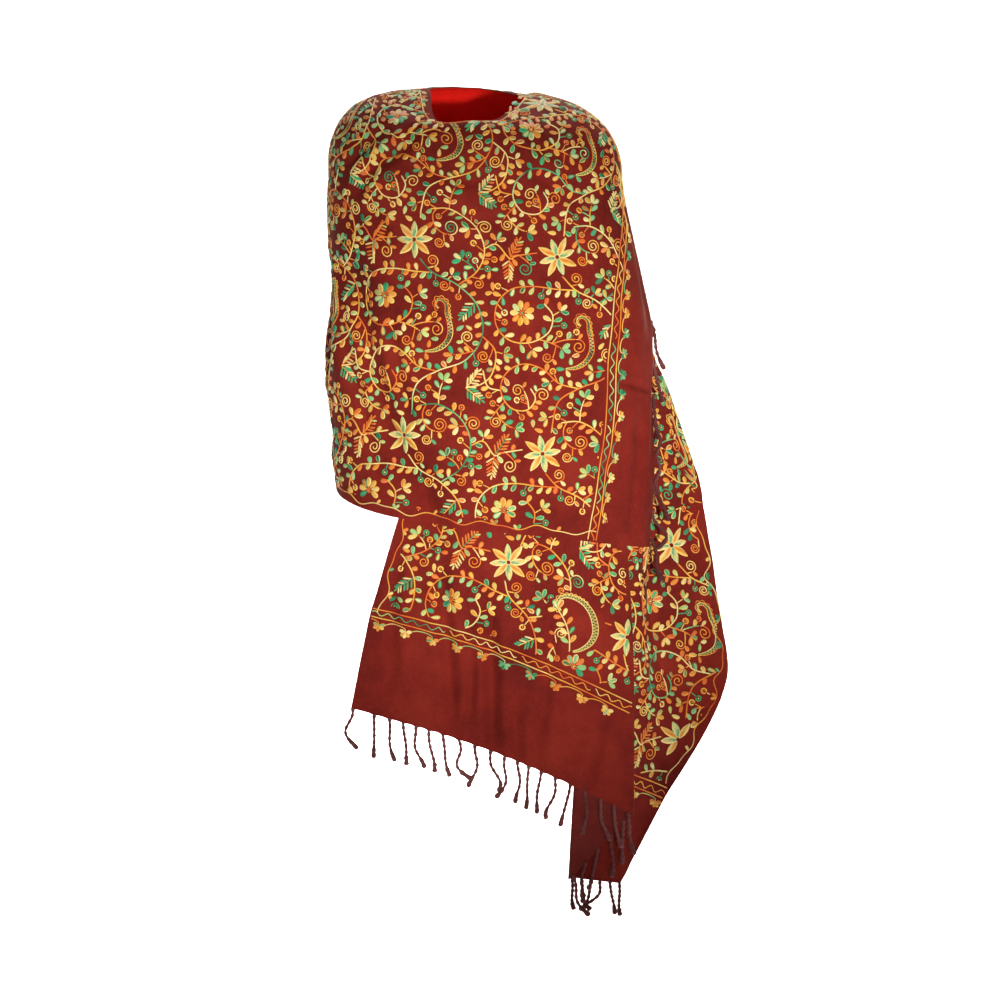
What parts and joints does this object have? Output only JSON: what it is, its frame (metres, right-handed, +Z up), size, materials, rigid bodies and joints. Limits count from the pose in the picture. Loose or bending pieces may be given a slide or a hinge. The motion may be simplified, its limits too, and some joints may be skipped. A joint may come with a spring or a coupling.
{
  "type": "embroidered shawl",
  "caption": "Oblong wool shawl wound once round the shoulders, embroidered all over, with plain fringed ends; hollow, in its worn form.",
  "frame": {"origin": "in the neck opening, level with where the cloth rests on the shoulders beside the neck", "axes": "+Z up, -Y to the front where the wrap crosses the chest, +X to the side where the free end hangs"},
  "size_m": [0.5842, 0.2632, 1.2118],
  "materials": {
    "embroidered_wool": "matt fine wool, maroon, with many-coloured raised chain-stitch vines",
    "plain_wool": "matt fine wool, maroon, plain",
    "fringe_yarn": "twisted wool yarn, dark maroon"
  },
  "bodies": {
    "root": {"front_wrap": "embroidered_wool", "front_end_band": "plain_wool", "arm_wrap": "embroidered_wool", "back_wrap": "embroidered_wool", "shoulder_fall": "embroidered_wool", "hanging_front": "embroidered_wool", "hanging_band": "plain_wool", "pleat_return": "embroidered_wool", "side_fall": "embroidered_wool", "side_band": "plain_wool", "hanging_fringe": "fringe_yarn", "pleat_fringe": "fringe_yarn", "side_fringe": "fringe_yarn", "front_end_fringe": "fringe_yarn"}
  },
  "joints": []
}
